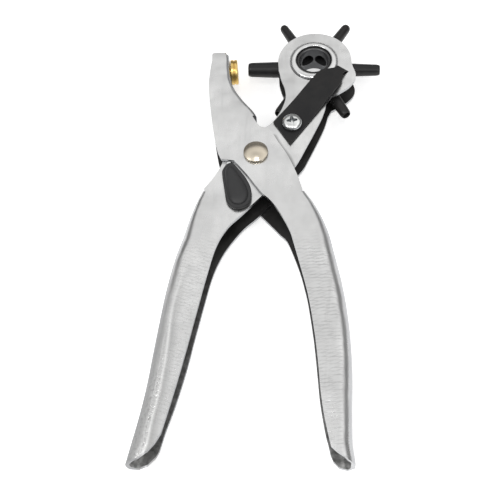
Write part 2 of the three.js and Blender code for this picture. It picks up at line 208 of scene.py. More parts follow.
def inked(tool):
    """Gives the faces that this tool will cut the piece's second material."""
    for f in tool.data.polygons:
        f.material_index = 1
    for tag in ("first", "second"):
        tool.data.materials.append(bpy.data.materials.new(tag))
    return tool


def carve(ob, tool):
    """Cuts the tool out of the piece and leaves the result in its mesh."""
    cut = ob.modifiers.new("cut", "BOOLEAN")
    cut.operation = "DIFFERENCE"
    cut.solver = "EXACT"
    cut.use_self = True
    cut.object = tool
    made = bpy.data.meshes.new_from_object(ob.evaluated_get(bpy.context.evaluated_depsgraph_get()))
    ob.modifiers.clear()
    ob.data = made
    bpy.data.objects.remove(tool)
    bm = bmesh.new()
    bm.from_mesh(made)
    keep_sharp(bm, SHARP)
    bm.to_mesh(made)
    bm.free()


def placed(x, y, z, turn=0.0, lay=False):
    """Matrix for a turned piece: upright, or lying along the direction turn."""
    m = Matrix.Translation((x * MM, y * MM, z * MM)) @ Matrix.Rotation(math.radians(turn), 4, "Z")
    if lay:
        m = m @ Matrix.Rotation(math.radians(90), 4, "Y")
    return m


# ---------------------------------------------------------------- materials

class Net:
    """A material's node tree on one Principled shader."""

    def __init__(self, name):
        self.m = bpy.data.materials.new(name)
        self.m.use_nodes = True
        self.t = self.m.node_tree
        self.t.nodes.clear()
        out = self.t.nodes.new("ShaderNodeOutputMaterial")
        self.s = self.t.nodes.new("ShaderNodeBsdfPrincipled")
        self.t.links.new(self.s.outputs["BSDF"], out.inputs["Surface"])
        self.coord = self.t.nodes.new("ShaderNodeTexCoord").outputs["Object"]

    def put(self, socket, value):
        """Sets an input to a value, or links another socket to it."""
        if isinstance(value, bpy.types.NodeSocket):
            self.t.links.new(value, socket)
        else:
            socket.default_value = value

    def stretch(self, scale, turn=(0, 0, 0)):
        """The object's coordinates, scaled and turned."""
        n = self.t.nodes.new("ShaderNodeMapping")
        self.put(n.inputs["Vector"], self.coord)
        n.inputs["Scale"].default_value = scale
        n.inputs["Rotation"].default_value = turn
        return n.outputs["Vector"]

    def noise(self, scale, detail=3.0, rough=0.5, vector=None):
        """Noise at this scale, about 0 to 1."""
        n = self.t.nodes.new("ShaderNodeTexNoise")
        self.put(n.inputs["Vector"], vector or self.coord)
        n.inputs["Scale"].default_value = scale
        n.inputs["Detail"].default_value = detail
        n.inputs["Roughness"].default_value = rough
        return n.outputs["Fac"]

    def math(self, op, a, b=0.0, clamp=False):
        n = self.t.nodes.new("ShaderNodeMath")
        n.operation = op
        n.use_clamp = clamp
        for socket, value in zip(n.inputs, (a, b)):
            self.put(socket, value)
        return n.outputs[0]

    def times(self, first, *others):
        """Product of the values."""
        for other in others:
            first = self.math("MULTIPLY", first, other)
        return first

    def span(self, value, a, b, lo=0.0, hi=1.0):
        """Maps a..b to lo..hi, held at both ends."""
        n = self.t.nodes.new("ShaderNodeMapRange")
        n.clamp = True
        for socket, v in zip(n.inputs, (value, a, b, lo, hi)):
            self.put(socket, v)
        return n.outputs[0]

    def colours(self, fac, a, b):
        """Mix of two colours, each a tuple or a socket."""
        n = self.t.nodes.new("ShaderNodeMix")
        n.data_type = "RGBA"
        self.put(n.inputs[0], fac)
        self.put(n.inputs[6], (*a, 1.0) if isinstance(a, tuple) else a)
        self.put(n.inputs[7], (*b, 1.0) if isinstance(b, tuple) else b)
        return n.outputs[2]

    def parts(self):
        """x, y and z in the object's own frame, in metres."""
        n = self.t.nodes.new("ShaderNodeSeparateXYZ")
        self.put(n.inputs[0], self.coord)
        return n.outputs

    def normal_z(self):
        """1 on faces that look straight up or down, 0 on upright sides."""
        n = self.t.nodes.new("ShaderNodeSeparateXYZ")
        self.put(n.inputs[0], self.coord.node.outputs["Normal"])
        return self.math("ABSOLUTE", n.outputs["Z"])

    def follow(self, source, points, low, high):
        """x of a drawn line at this y, both in the window low..high mm."""
        node = self.t.nodes.new("ShaderNodeFloatCurve")
        curve = node.mapping.curves[0]
        spots = [((y - low) / (high - low), (x - low) / (high - low)) for x, y in points]
        for at, off in spots[1:-1]:
            curve.points.new(at, off)
        curve.points[0].location = spots[0]
        curve.points[len(curve.points) - 1].location = spots[-1]
        node.mapping.update()
        window = (high - low) * MM
        self.put(node.inputs["Value"], self.math("DIVIDE", self.math("SUBTRACT", source, low * MM), window))
        return self.math("ADD", self.math("MULTIPLY", node.outputs["Value"], window), low * MM)

    def bump(self, height, strength, distance, after=None):
        """Normal bent by a height, on top of the normal after."""
        n = self.t.nodes.new("ShaderNodeBump")
        n.inputs["Strength"].default_value = strength
        n.inputs["Distance"].default_value = distance
        self.put(n.inputs["Height"], height)
        if after is not None:
            self.put(n.inputs["Normal"], after)
        return n.outputs["Normal"]


# Lines on the faces of the left lever, as (x, y) in mm from the lowest y up.
LEFT_RIDGE = [
    (-36.9, -140.0), (-35.3, -135.0), (-34.5, -127.0), (-33.1, -117.3), (-31.9, -106.4), (-31.2, -93.4),
    (-30.6, -75.5), (-28.0, -61.5), (-24.0, -45.0),
]
# Edge of the other lever where it crosses the neck, with the handles open.
CROSSING_EDGE = [
    (21.3, -19.0), (20.1, -15.2), (18.9, -11.6), (16.9, -6.8), (13.9, -0.4), (9.8, 6.2), (6.6, 12.0),
]
LEFT, RIGHT = 1, -1
# Painted highlight tone for the crest of the left grip's ridge.
CREST_HIGHLIGHT_TONE = (0.93, 0.93, 0.92)
# Share of the tone kept on upright faces, as painted shade.
SIDE_SHADE = (0.52, 0.53, 0.55)


def shade(tone, share):
    """The tone, darkened evenly."""
    return tuple(c * share for c in tone)


def pressed_net(n, y, facing, grip, tone, colour, normal):
    """Net of fine pressed lines on the flat of a grip, with specks in it on the left one."""
    flat = n.span(facing, 0.90, 0.985)
    where = n.times(n.span(y, -0.038, -0.052), n.span(y, -0.1375, -0.133))
    lines = []
    for turn in (0.16, -0.20):
        wave = n.t.nodes.new("ShaderNodeTexWave")
        wave.wave_type = "BANDS"
        wave.bands_direction = "Y"
        wave.wave_profile = "SIN"
        n.put(wave.inputs["Vector"], n.stretch((1.0, 1.0, 1.0), (0, 0, turn + 0.20 * grip)))
        wave.inputs["Scale"].default_value = 205.0
        wave.inputs["Distortion"].default_value = 1.7
        wave.inputs["Detail"].default_value = 1.5
        wave.inputs["Detail Scale"].default_value = 1.6
        lines.append(n.math("POWER", wave.outputs["Fac"], 7.0))
    net = n.math("MAXIMUM", lines[0], n.times(lines[1], 0.7))
    broken = n.noise(420.0, 2.0, 0.5, n.stretch((0.5, 1.4, 0.6)))
    net = n.times(net, n.span(broken, 0.34, 0.60))
    if grip == LEFT:
        speck = n.span(n.noise(1500.0, 3.0, 0.7), 0.56, 0.70)
        net = n.math("ADD", n.times(net, 0.55), n.times(speck, 0.75), clamp=True)
    net = n.times(net, where, flat)
    colour = n.colours(n.times(net, 0.46), colour, shade(tone, 0.36))
    return colour, n.bump(net, 0.35, -0.00008, normal)


def left_ridge(n, x, y, broad, tone, colour, normal):
    """Ridge along the left grip, from a bump and painted light: painted highlight on the crest, painted shade
    in the valley towards the other grip and on the outer slope, and darker dimples outside.
    """
    gap = n.math("SUBTRACT", x, n.follow(y, LEFT_RIDGE, -150.0, 50.0))
    along = n.times(n.span(y, -0.055, -0.085), n.span(broad, 0.2, 0.5, 0.7, 1.0))
    crest = n.times(n.span(gap, -0.0008, 0.0), n.span(gap, 0.0007, 0.0001))
    valley = n.times(n.span(gap, 0.0001, 0.0012), n.span(gap, 0.0040, 0.0014))
    inside = n.span(gap, -0.0022, 0.0)
    outside = n.times(n.span(gap, 0.0, -0.0010), along)
    dimple = n.times(
        n.span(n.noise(820.0, 2.0, 0.5), 0.52, 0.64), n.span(y, -0.088, -0.115), n.span(gap, 0.0010, -0.0006))
    dark = shade(tone, 0.5)
    # Painted shade in the valley and on the outer slope.
    colour = n.colours(n.times(valley, along, 0.55), colour, dark)
    colour = n.colours(n.times(outside, 0.28), colour, dark)
    colour = n.colours(n.times(dimple, 0.45), colour, dark)
    # Painted highlight along the crest.
    colour = n.colours(n.times(crest, along, 0.5), colour, CREST_HIGHLIGHT_TONE)
    normal = n.bump(n.times(inside, along), 0.5, -0.0004, normal)
    return colour, n.bump(dimple, 0.5, -0.00015, normal)


def painted_edge_shadow(n, x, y, tone, colour):
    """Painted shadow: thin dark line on the neck along the crossing edge, where the other lever's edge shades
    it with the handles open.
    """
    beside = n.math("SUBTRACT", x, n.follow(y, CROSSING_EDGE, -25.0, 25.0))
    edge_shadow_mask = n.times(
        n.span(beside, 0.0022, 0.0005), n.span(y, 0.0125, 0.0110), n.span(beside, -0.0040, -0.0020),
        n.span(y, -0.0190, -0.0170))
    return n.colours(n.times(edge_shadow_mask, 0.8), colour, shade(tone, 0.2))


def nickel(name, tone=(0.73, 0.73, 0.725), rough=(0.20, 0.32), grip=0, relief=0.14):
    """Satin nickel: drifting tone, rub marks, fine grain, and painted shade on upright faces. A lever also
    gets the marks of its grip; the left one also gets painted highlight and shade along its ridge and a
    painted shadow line on its neck.
    """
    n = Net(name)
    x, y, _ = n.parts()
    facing = n.normal_z()
    broad = n.noise(32.0, 3.0, 0.55)
    cloud = n.noise(150.0, 4.0, 0.6)
    fine = n.noise(1100.0, 4.0, 0.6)
    rub = n.noise(240.0, 5.0, 0.65, n.stretch((1.0, 0.14, 1.0), (0, 0, 0.25)))
    colour = n.colours(n.span(broad, 0.34, 0.66), tone, shade(tone, 0.84))
    colour = n.colours(n.span(cloud, 0.45, 0.72, 0.0, 0.35), colour, shade(tone, 0.72))
    colour = n.colours(n.span(rub, 0.58, 0.76, 0.0, 0.5), colour, shade(tone, 0.66))
    # Painted shade: upright faces are darkened.
    side_painted_shade = tuple(c * share for c, share in zip(tone, SIDE_SHADE))
    colour = n.colours(n.span(facing, 0.93, 0.55, 0.0, 0.85), colour, side_painted_shade)
    level = n.math("ADD", n.span(broad, 0.3, 0.7, *rough), n.span(rub, 0.4, 0.75, 0.0, 0.10))
    normal = n.bump(broad, 0.5, 0.003)
    grain = n.math("ADD", n.times(rub, 0.22), n.times(fine, 0.3))
    normal = n.bump(grain, relief, 0.00010, normal)
    if grip:
        colour, normal = pressed_net(n, y, facing, grip, tone, colour, normal)
    if grip == LEFT:
        colour, normal = left_ridge(n, x, y, broad, tone, colour, normal)
        # Painted shadow of the other lever's edge on the neck.
        colour = painted_edge_shadow(n, x, y, tone, colour)
        level = n.math("ADD", level, n.times(n.span(facing, 0.985, 0.93, 0.0, 0.34), n.span(y, -0.05, -0.08)))
    n.put(n.s.inputs["Base Color"], colour)
    n.put(n.s.inputs["Roughness"], level)
    n.put(n.s.inputs["Normal"], normal)
    n.s.inputs["Metallic"].default_value = 1.0
    return n.m


def painted_shade_inside():
    """Inner faces of the folded sheet, as painted shade: near black deep in the channel, turning to lighter
    streaky metal towards the open grip ends.
    """
    n = Net("inner_sheet_painted_shade")
    y = n.parts()["Y"]
    broad = n.noise(70.0, 4.0, 0.6)
    streak = n.noise(420.0, 4.0, 0.6, n.stretch((1.0, 1.0, 0.12)))
    # Painted shade lifts towards the open grip ends of the channel.
    towards_open_end = n.times(n.span(y, -0.040, -0.136), n.span(streak, 0.25, 0.6, 0.55, 1.0))
    colour = n.colours(n.span(broad, 0.35, 0.7), (0.014, 0.014, 0.013), (0.038, 0.037, 0.036))
    metal = n.colours(n.span(streak, 0.30, 0.70), (0.20, 0.20, 0.195), (0.40, 0.40, 0.395))
    n.put(n.s.inputs["Base Color"], n.colours(towards_open_end, colour, metal))
    n.put(n.s.inputs["Roughness"], n.span(broad, 0.3, 0.7, 0.38, 0.55))
    n.put(n.s.inputs["Metallic"], towards_open_end)
    n.put(n.s.inputs["Normal"], n.bump(n.noise(1300.0, 3.0, 0.6), 0.25, 0.00012))
    return n.m


def black_oxide(name, base, rough=(0.34, 0.50), grain=1400.0, shine=0.4):
    """Blackened steel: slight brown-blue drift, fine turned grain, rubbed spots."""
    n = Net(name)
    broad = n.noise(120.0, 4.0, 0.6)
    fine = n.noise(grain, 4.0, 0.6)
    rub = n.noise(420.0, 6.0, 0.7)
    blue = (base, base, base * 1.08)
    brown = (base * 2.0, base * 1.9, base * 1.85)
    colour = n.colours(n.span(broad, 0.35, 0.7), blue, brown)
    colour = n.colours(n.span(rub, 0.66, 0.80, 0.0, 0.35), colour, (0.14, 0.135, 0.13))
    n.put(n.s.inputs["Base Color"], colour)
    n.put(n.s.inputs["Roughness"], n.span(broad, 0.3, 0.7, *rough))
    n.put(n.s.inputs["Normal"], n.bump(fine, 0.28, 0.00010))
    n.s.inputs["Metallic"].default_value = 0.0
    n.s.inputs["Specular IOR Level"].default_value = shine
    return n.m


def brass():
    """Turned brass, a little dulled in patches."""
    n = Net("turned_brass")
    broad = n.noise(160.0, 3.0, 0.5)
    fine = n.noise(1500.0, 4.0, 0.6)
    colour = n.colours(n.span(broad, 0.3, 0.7), (0.83, 0.60, 0.22), (0.62, 0.41, 0.13))
    n.put(n.s.inputs["Base Color"], colour)
    n.put(n.s.inputs["Roughness"], n.span(broad, 0.3, 0.7, 0.22, 0.36))
    n.put(n.s.inputs["Normal"], n.bump(fine, 0.2, 0.00010))
    n.s.inputs["Metallic"].default_value = 1.0
    return n.m


def plastic():
    """Moulded matt black plastic with a fine spark-eroded grain."""
    n = Net("moulded_black_plastic")
    broad = n.noise(90.0, 3.0, 0.5)
    grain = n.noise(2600.0, 3.0, 0.65)
    colour = n.colours(n.span(broad, 0.3, 0.7), (0.016, 0.016, 0.017), (0.030, 0.030, 0.031))
    n.put(n.s.inputs["Base Color"], colour)
    n.put(n.s.inputs["Roughness"], n.span(broad, 0.3, 0.7, 0.44, 0.58))
    n.put(n.s.inputs["Normal"], n.bump(grain, 0.35, 0.00010))
    return n.m


M_SHEET_IN_SHADE = painted_shade_inside()
M_GRIP_L = nickel("satin_nickel_left_grip", grip=LEFT)
M_GRIP_R = nickel("satin_nickel_right_grip", grip=RIGHT)
M_RIVET = nickel("warm_nickel_rivet", (0.66, 0.59, 0.48), (0.18, 0.27), relief=0.04)
M_SCREW = nickel("bright_zinc_screw", (0.82, 0.83, 0.82), (0.14, 0.24))
# Painted shade in the screw's cross recess: a near black copy of the zinc.
M_RECESS_SHADE = nickel("screw_recess_painted_shade", (0.07, 0.075, 0.07), (0.34, 0.46))
M_COLLAR = nickel("bright_nickel_collar", (0.80, 0.80, 0.795), (0.14, 0.24))
M_HUB = black_oxide("black_oxide_hub", 0.020)
M_BORE = nickel("dark_steel_bore", (0.24, 0.24, 0.24), (0.30, 0.42))
# Painted shade in the hub's punch sockets and detent dimples: a darker, duller copy of the hub's oxide.
M_HOLE_SHADE = black_oxide("black_oxide_socket_painted_shade", 0.006, (0.6, 0.7), 1400.0, 0.1)
M_PUNCH = black_oxide("black_oxide_punches", 0.010, (0.28, 0.42), 1400.0, 0.30)
M_STRIP = black_oxide("black_oxide_spring_strip", 0.011, (0.40, 0.54), 900.0, 0.25)
M_WIRE = nickel("bare_spring_wire", (0.42, 0.42, 0.43), (0.30, 0.42))
M_BRASS = brass()
M_PLASTIC = plastic()


def piece(ob, body, slot, materials, *nodes):
    """Gives a finished piece its materials and its body, and hides the CAD nodes it stands for. The slot
    argument is not used.
    """
    for material in materials if isinstance(materials, list) else [materials]:
        ob.data.materials.append(material)
    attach(ob, body)
    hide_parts(*nodes)


# ---------------------------------------------------------------- levers

FOLD_STEPS = 10
CUT_HALF = 9.5
CUT_BOTTOM = -160.0


def ring(r, half):
    """Outer and inner line of a folded side: distance from the edge, height above the middle."""
    outer = []
    inner = []
    for centre, first in ((half - r, 90), (r - half, 180)):
        for k in range(FOLD_STEPS + 1):
            a = math.radians(first + 90 * k / FOLD_STEPS)
            outer.append((r + r * math.cos(a), centre + r * math.sin(a)))
            inner.append((r + (r - SHEET) * math.cos(a), centre + (r - SHEET) * math.sin(a)))
    return outer, inner


def fold_mesh(bm, path, radius, half):
    """Adds the folded side along the path: outer sheet, inner sheet and both ends."""
    side = normals(path)
    sheets = []
    for part in (0, 1):
        rows = []
        for i, (p, n) in enumerate(zip(path, side)):
            rows.append([
                bm.verts.new(((p[0] + d * n[0]) * MM, (p[1] + d * n[1]) * MM, (MID + z) * MM))
                for d, z in ring(radius(i), half)[part]
            ])
        for a, b in zip(rows, rows[1:]):
            for j in range(len(a) - 1):
                bm.faces.new([a[j], a[j + 1], b[j + 1], b[j]]).material_index = part
        sheets.append(rows)
    outer, inner = sheets
    for end in (0, -1):
        a = outer[end]
        b = inner[end]
        for j in range(len(a) - 1):
            bm.faces.new([a[j], a[j + 1], b[j + 1], b[j]])


def slanted(name, rear, front):
    """Solid between a rear outline and a front outline of the same point count."""
    bm = bmesh.new()
    rows = [
        [bm.verts.new((x * MM, y * MM, z * MM)) for x, y in pts]
        for pts, z in ((rear, MID - CUT_HALF), (front, MID + CUT_HALF))
    ]
    for i in range(len(rear)):
        j = (i + 1) % len(rear)
        bm.faces.new([rows[0][i], rows[0][j], rows[1][j], rows[1][i]])
    bm.faces.new(rows[0])
    bm.faces.new(rows[1])
    return finish_mesh(bm, name, weld=1e-9)


def below(pts, x):
    """Closes a cut line into an outline that takes away what lies below it, as far as x."""
    return pts + [(x, pts[-1][1]), (x, CUT_BOTTOM), (pts[0][0], CUT_BOTTOM)]


def lever(name, front, rear, half, holes_front, holes_rear, cutter):
    """Folded sheet lever. An outline lists (points, radius): with a radius a fold, with None a cut edge."""
    bm = bmesh.new()
    for up, outline, holes in ((1, front, holes_front), (-1, rear, holes_rear)):
        points = []
        joined = set()
        for pts, radius in outline:
            if radius is None:
                points += pts
                continue
            start = len(points)
            for i, (p, n) in enumerate(zip(pts, normals(pts))):
                points.append((p[0] + radius(i) * n[0], p[1] + radius(i) * n[1]))
            joined.update(range(start, len(points) - 1))
        loops = [points] + holes
        flat = [p for loop in loops for p in loop]
        tris = tessellate_polygon([[Vector((x, y, 0)) for x, y in loop] for loop in loops])
        out = [bm.verts.new((x * MM, y * MM, (MID + up * half) * MM)) for x, y in flat]
        ins = [bm.verts.new((x * MM, y * MM, (MID + up * (half - SHEET)) * MM)) for x, y in flat]
        for t in tris:
            bm.faces.new([out[i] for i in t]).material_index = 0
            bm.faces.new([ins[i] for i in reversed(t)]).material_index = 1
        k = 0
        for loop in loops:
            for i in range(len(loop)):
                if loop is points and i in joined:
                    continue
                a = k + i
                b = k + (i + 1) % len(loop)
                bm.faces.new([ins[a], ins[b], out[b], out[a]])
            k += len(loop)
    for pts, radius in front:
        if radius is not None:
            fold_mesh(bm, pts, radius, half)
    ob = finish_mesh(bm, name, 28, 2e-6)
    carve(ob, cutter)
    return bevel(ob, 0.26, 3, 50, edge_material=0)


def strip_point(s, t):
    """Point of the index spring's frame: s along it from its screw end, t to its right."""
    c = math.cos(STRIP_ANGLE)
    d = math.sin(STRIP_ANGLE)
    return (STRIP_AT[0] + s * c + t * d, STRIP_AT[1] + s * d - t * c)


FOLD_ROWS = 96
TAPER_ROWS = 28
HEAD_R = 17.4


def grow(i):
    """Fold radius down a handle, wider towards the grip."""
    return EDGE_FOLD_R + (GRIP_FOLD_R - EDGE_FOLD_R) * min(i / TAPER_ROWS, 1)


inner_web = smooth([
    (-22.9, -18.9), (-25.4, -24.7), (-27.9, -33.0), (-29.7, -40.4), (-32.5, -51.6), (-34.9, -66.9),
    (-36.3, -81.6), (-37.5, -95.8), (-38.6, -109.6), (-40.3, -122.8), (-42.2, -134.0), (-43.9, -144.0),
], FOLD_ROWS)
inner_front_right = smooth([
    (-33.4, -144.0), (-32.0, -137.5), (-30.4, -130.8), (-28.6, -122.5), (-25.9, -109.0), (-23.2, -94.0),
    (-20.4, -77.0), (-17.8, -61.5), (-14.9, -47.5), (-10.6, -38.0), (-4.6, -31.0), (3.3, -21.8),
    (12.0, -12.0), (17.7, -5.2), (22.4, 5.2), (26.4, 14.8), (29.4, 22.6), (31.4, 30.6),
], 110)
inner_rear_right = smooth([
    (-34.4, -144.0), (-32.9, -138.0), (-31.5, -131.5), (-30.2, -125.5), (-27.4, -114.9), (-24.2, -99.7),
    (-21.9, -85.3), (-19.3, -70.3), (-17.2, -58.7), (-15.0, -50.8), (-11.6, -42.8), (-6.4, -34.5),
    (-3.0, -30.3), (1.2, -26.1), (5.6, -20.4), (12.0, -12.0), (20.4, -0.5), (22.9, 4.6), (26.6, 13.7),
    (30.0, 22.9), (31.9, 30.4),
], 110)
head_right = smooth([(33.4, 33.9), (37.6, 36.6), (41.4, 39.7), (44.0, 43.4), (44.6, 47.2), (43.2, 51.8)], 26)
head_arc = [
    (TURRET[0] + 0.4 + HEAD_R * math.cos(a), TURRET[1] - 0.2 + HEAD_R * math.sin(a))
    for a in (math.radians(3 * i) for i in range(61))
]
inner_left = smooth([
    (8.3, 49.2), (9.7, 44.2), (11.5, 39.0), (12.2, 33.4), (11.4, 28.8), (9.2, 23.0), (5.4, 17.4),
    (0.0, 14.0), (-6.0, 11.6), (-11.0, 7.0), (-13.8, 0.6), (-15.6, -6.4), (-18.7, -12.8), (-22.2, -18.2),
], 80)
inner_end_front = [
    (-48.0, -143.0), (-41.5, -141.9), (-37.9, -140.0), (-34.4, -136.8), (-32.1, -133.7), (-29.4, -128.5),
]
inner_end_rear = [
    (-48.0, -141.5), (-43.0, -141.7), (-39.5, -141.5), (-36.5, -140.3), (-33.5, -137.2), (-31.2, -132.0),
]
slot_corners = [(-1.2, -2.9), (0.9, -2.9), (0.9, 3.1), (-1.2, 3.1)]
slot_hole = [strip_point(STRIP_LENGTH + s, t) for s, t in slot_corners]
screw_at = strip_point(SCREW_AT, SCREW_SIDE)
pivot_hole = circle(0, 0, SHANK_R + GAP, 40)
turret_hole = circle(*TURRET, BOSS_R + GAP, 72)
inner_front_holes = [
    pivot_hole, turret_hole, circle(*screw_at, SCREW_R + GAP, 32),
    circle(*LATCH_PIN, LATCH_BORE_R, 24), slot_hole,
]
inner_rear_holes = [pivot_hole, turret_hole]
inner_rest = head_right + head_arc + inner_left
inner = lever(
    "punch_side_lever",
    [(inner_web, grow), (inner_front_right + inner_rest, None)],
    [(inner_web, grow), (inner_rear_right + inner_rest, None)],
    INNER_HALF, inner_front_holes, inner_rear_holes,
    slanted("inner_end_cut", below(inner_end_rear, -10.0), below(inner_end_front, -10.0)),
)
piece(inner, "punch_side", "nickel_steel", [M_GRIP_L, M_SHEET_IN_SHADE], "inner_lever")

jaw_web = smooth([
    (-0.9, 21.6), (-3.0, 25.0), (-7.8, 30.9), (-11.7, 36.9), (-13.9, 42.4), (-14.9, 47.6),
], 40) + [(-15.9, 57.8)]
jaw_top = [(-17.2, 58.5), (-22.7, 58.5), (-23.3, 58.3), (-23.7, 57.9), (-23.9, 57.3), (-23.7, 54.0)]
outer_left = smooth([
    (-24.0, 49.6), (-24.2, 41.0), (-23.3, 31.6), (-20.7, 15.6), (-17.9, 2.8), (-15.3, -3.4),
], 40)
outer_front_inner = smooth([
    (-9.6, -4.1), (-3.4, -11.6), (3.3, -20.6), (7.6, -24.9), (12.0, -31.1), (16.4, -39.6), (19.0, -48.0),
    (22.0, -58.6), (25.0, -70.2), (27.6, -84.6), (29.4, -98.0), (30.7, -111.0), (32.2, -121.0),
    (33.9, -128.7), (35.4, -135.0), (37.4, -144.0),
], 100)
outer_rear_inner = smooth([
    (-9.6, -4.1), (-4.6, -12.6), (-0.4, -20.0), (3.8, -24.9), (7.6, -29.0), (11.3, -33.1), (15.0, -37.1),
    (18.4, -45.1), (21.2, -53.0), (23.3, -60.7), (25.0, -68.3), (27.4, -83.1), (29.1, -97.4), (30.6, -111.1),
    (32.8, -123.4), (34.2, -128.8), (35.6, -135.0), (37.4, -144.0),
], 100)
handle_web = smooth([
    (44.7, -144.0), (44.3, -138.0), (43.3, -130.6), (43.1, -118.0), (43.2, -104.9), (42.65, -91.3),
    (41.3, -77.3), (38.9, -62.7), (35.4, -47.8), (33.4, -39.9), (30.3, -32.0), (26.4, -24.8),
    (22.3, -19.2),
], FOLD_ROWS)
outer_right = smooth(CROSSING_EDGE, 36)
throat = [(4.4, 14.0), (1.0, 15.0), (-0.4, 16.8)]
outer_end_front = [
    (52.0, -141.5), (43.5, -139.9), (41.8, -138.7), (39.4, -136.8), (37.3, -135.5), (34.6, -133.2),
]
outer_end_rear = [
    (52.0, -137.4), (44.1, -138.0), (41.5, -138.4), (38.3, -137.4), (36.4, -135.4), (35.2, -132.6),
]
outer_sides = [
    [
        (jaw_web, lambda i: EDGE_FOLD_R), (jaw_top + outer_left + inner_edge, None),
        (handle_web, lambda i: grow(FOLD_ROWS - i)), (outer_right + throat, None),
    ]
    for inner_edge in (outer_front_inner, outer_rear_inner)
]
outer = lever(
    "anvil_side_lever", *outer_sides, OUTER_HALF, [pivot_hole], [pivot_hole],
    slanted("outer_end_cut", below(outer_end_rear, 20.0), below(outer_end_front, 20.0)),
)
piece(outer, "anvil_side", "nickel_steel", [M_GRIP_R, M_SHEET_IN_SHADE], "outer_lever")


# ---------------------------------------------------------------- rivet, anvil, turret

RIVET_RISE = 2.3
CAP_R = 12.0
CAP_STEPS = 14
base = OUTER_HALF + GAP
cap_edge = math.asin((RIVET_HEAD_R - 0.15) / CAP_R)
cap_centre = base + RIVET_RISE - CAP_R
dome = [
    (CAP_R * math.sin(cap_edge * k / CAP_STEPS), cap_centre + CAP_R * math.cos(cap_edge * k / CAP_STEPS))
    for k in range(CAP_STEPS, 0, -1)
]
rivet = lathe("pivot_rivet_turned", [
    (0, -base - 1.3), (4.7, -base - 1.3), (5.2, -base - 1.15), (RIVET_HEAD_R, -base - 0.6),
    (RIVET_HEAD_R, -base),
    (SHANK_R, -base), (SHANK_R, base), (RIVET_HEAD_R - 0.12, base), (RIVET_HEAD_R, base + 0.08), *dome,
    (0, base + RIVET_RISE),
], 72, placed(0, 0, MID))
piece(rivet, "anvil_side", "nickel_steel", M_RIVET, "pivot_rivet")

anvil = lathe("anvil_disc", [
    (0, -ANVIL_T - 2.8), (1.8, -ANVIL_T - 2.8), (2.0, -ANVIL_T - 2.6), (2.0, -ANVIL_T),
    (ANVIL_R - 0.3, -ANVIL_T), (ANVIL_R, -ANVIL_T + 0.3), (ANVIL_R, -2.0), (ANVIL_R - 0.35, -1.8),
    (ANVIL_R - 0.35, -1.5), (ANVIL_R, -1.3), (ANVIL_R, -0.5), (ANVIL_R - 0.2, -0.15), (ANVIL_R - 0.6, 0),
    (0, 0),
], 72, placed(*ANVIL, MID, ANVIL_TILT, True))
piece(anvil, "anvil_side", "brass", M_BRASS, "anvil_pad")

boss = INNER_HALF + 0.7
hub = lathe("turret_hub_bored", [
    (BORE_R, -boss + 0.3), (BORE_R + 0.3, -boss), (BOSS_R - 0.3, -boss), (BOSS_R, -boss + 0.3),
    (BOSS_R, -HUB_HALF), (HUB_R - 0.8, -HUB_HALF), (HUB_R - 0.25, -HUB_HALF + 0.25),
    (HUB_R, -HUB_HALF + 0.8), (HUB_R, HUB_HALF - 0.8), (HUB_R - 0.25, HUB_HALF - 0.25),
    (HUB_R - 0.8, HUB_HALF), (BOSS_R, HUB_HALF), (BOSS_R, boss - 0.3), (BOSS_R - 0.3, boss),
    (BORE_R + 0.3, boss), (BORE_R, boss - 0.3),
], 96, None, True)
SOCKET_MIDDLE = 10
SOCKET_DEPTH = 16
DIMPLE_R = 14
BORE_MATERIAL = 2
dimple_at = strip_point(STRIP_LENGTH, 0)
dimple_angle = math.atan2(dimple_at[1] - TURRET[1], dimple_at[0] - TURRET[0])
cutters = bmesh.new()
for i, (angle, _, _) in enumerate(PUNCHES):
    m = Matrix.Rotation(math.radians(angle), 4, "Z") @ Matrix.Rotation(math.radians(90), 4, "Y")
    m = m @ Matrix.Translation((0, 0, SOCKET_MIDDLE * MM))
    bmesh.ops.create_cone(
        cutters, cap_ends=True, segments=40, radius1=(ROOT_R + GAP) * MM, radius2=(ROOT_R + GAP) * MM,
        depth=SOCKET_DEPTH * MM, matrix=m)
    a = dimple_angle + math.radians(60 * i)
    m = Matrix.Translation((DIMPLE_R * math.cos(a) * MM, DIMPLE_R * math.sin(a) * MM, (HUB_HALF + 0.1) * MM))
    bmesh.ops.create_cone(
        cutters, cap_ends=True, segments=24, radius1=0.9 * MM, radius2=1.8 * MM, depth=2 * MM, matrix=m)
carve(hub, inked(finish_mesh(cutters, "hub_cutters", weld=1e-9)))
hub.data.transform(placed(*TURRET, MID))
for f in hub.data.polygons:
    from_axis = math.hypot(f.center.x / MM - TURRET[0], f.center.y / MM - TURRET[1])
    if f.material_index == 0 and from_axis < BORE_R + 0.35:
        f.material_index = BORE_MATERIAL
piece(hub, "turret", "black_oxide", [M_HUB, M_HOLE_SHADE, M_BORE], "turret_hub")

PUNCH_WALL = 0.65
PUNCH_BORE_MAX = 2.3
for i, (angle, tip, base_r) in enumerate(PUNCHES):
    hole = min(tip - PUNCH_WALL, PUNCH_BORE_MAX)
    shoulder = HUB_R + GAP
    tube = lathe("punch_%d" % (i + 1), [
        (hole, ROOT_START), (ROOT_R - 0.2, ROOT_START), (ROOT_R, ROOT_START + 0.2), (ROOT_R, shoulder),
        (base_r - 0.2, shoulder), (base_r, shoulder + 0.2), (base_r, HUB_R + 3.8),
        (base_r - 0.06, HUB_R + 4.2), (tip + 0.05, TIP_R - 1.7), (tip - 0.02, TIP_R - 1.2),
        (tip - 0.22, TIP_R - 0.5), (tip - 0.5, TIP_R), (hole + 0.05, TIP_R), (hole, TIP_R - 0.1),
    ], 48, placed(*TURRET, MID, angle, True), True)
    piece(tube, "turret", "black_oxide", M_PUNCH, "punch_tube_%d" % (i + 1))

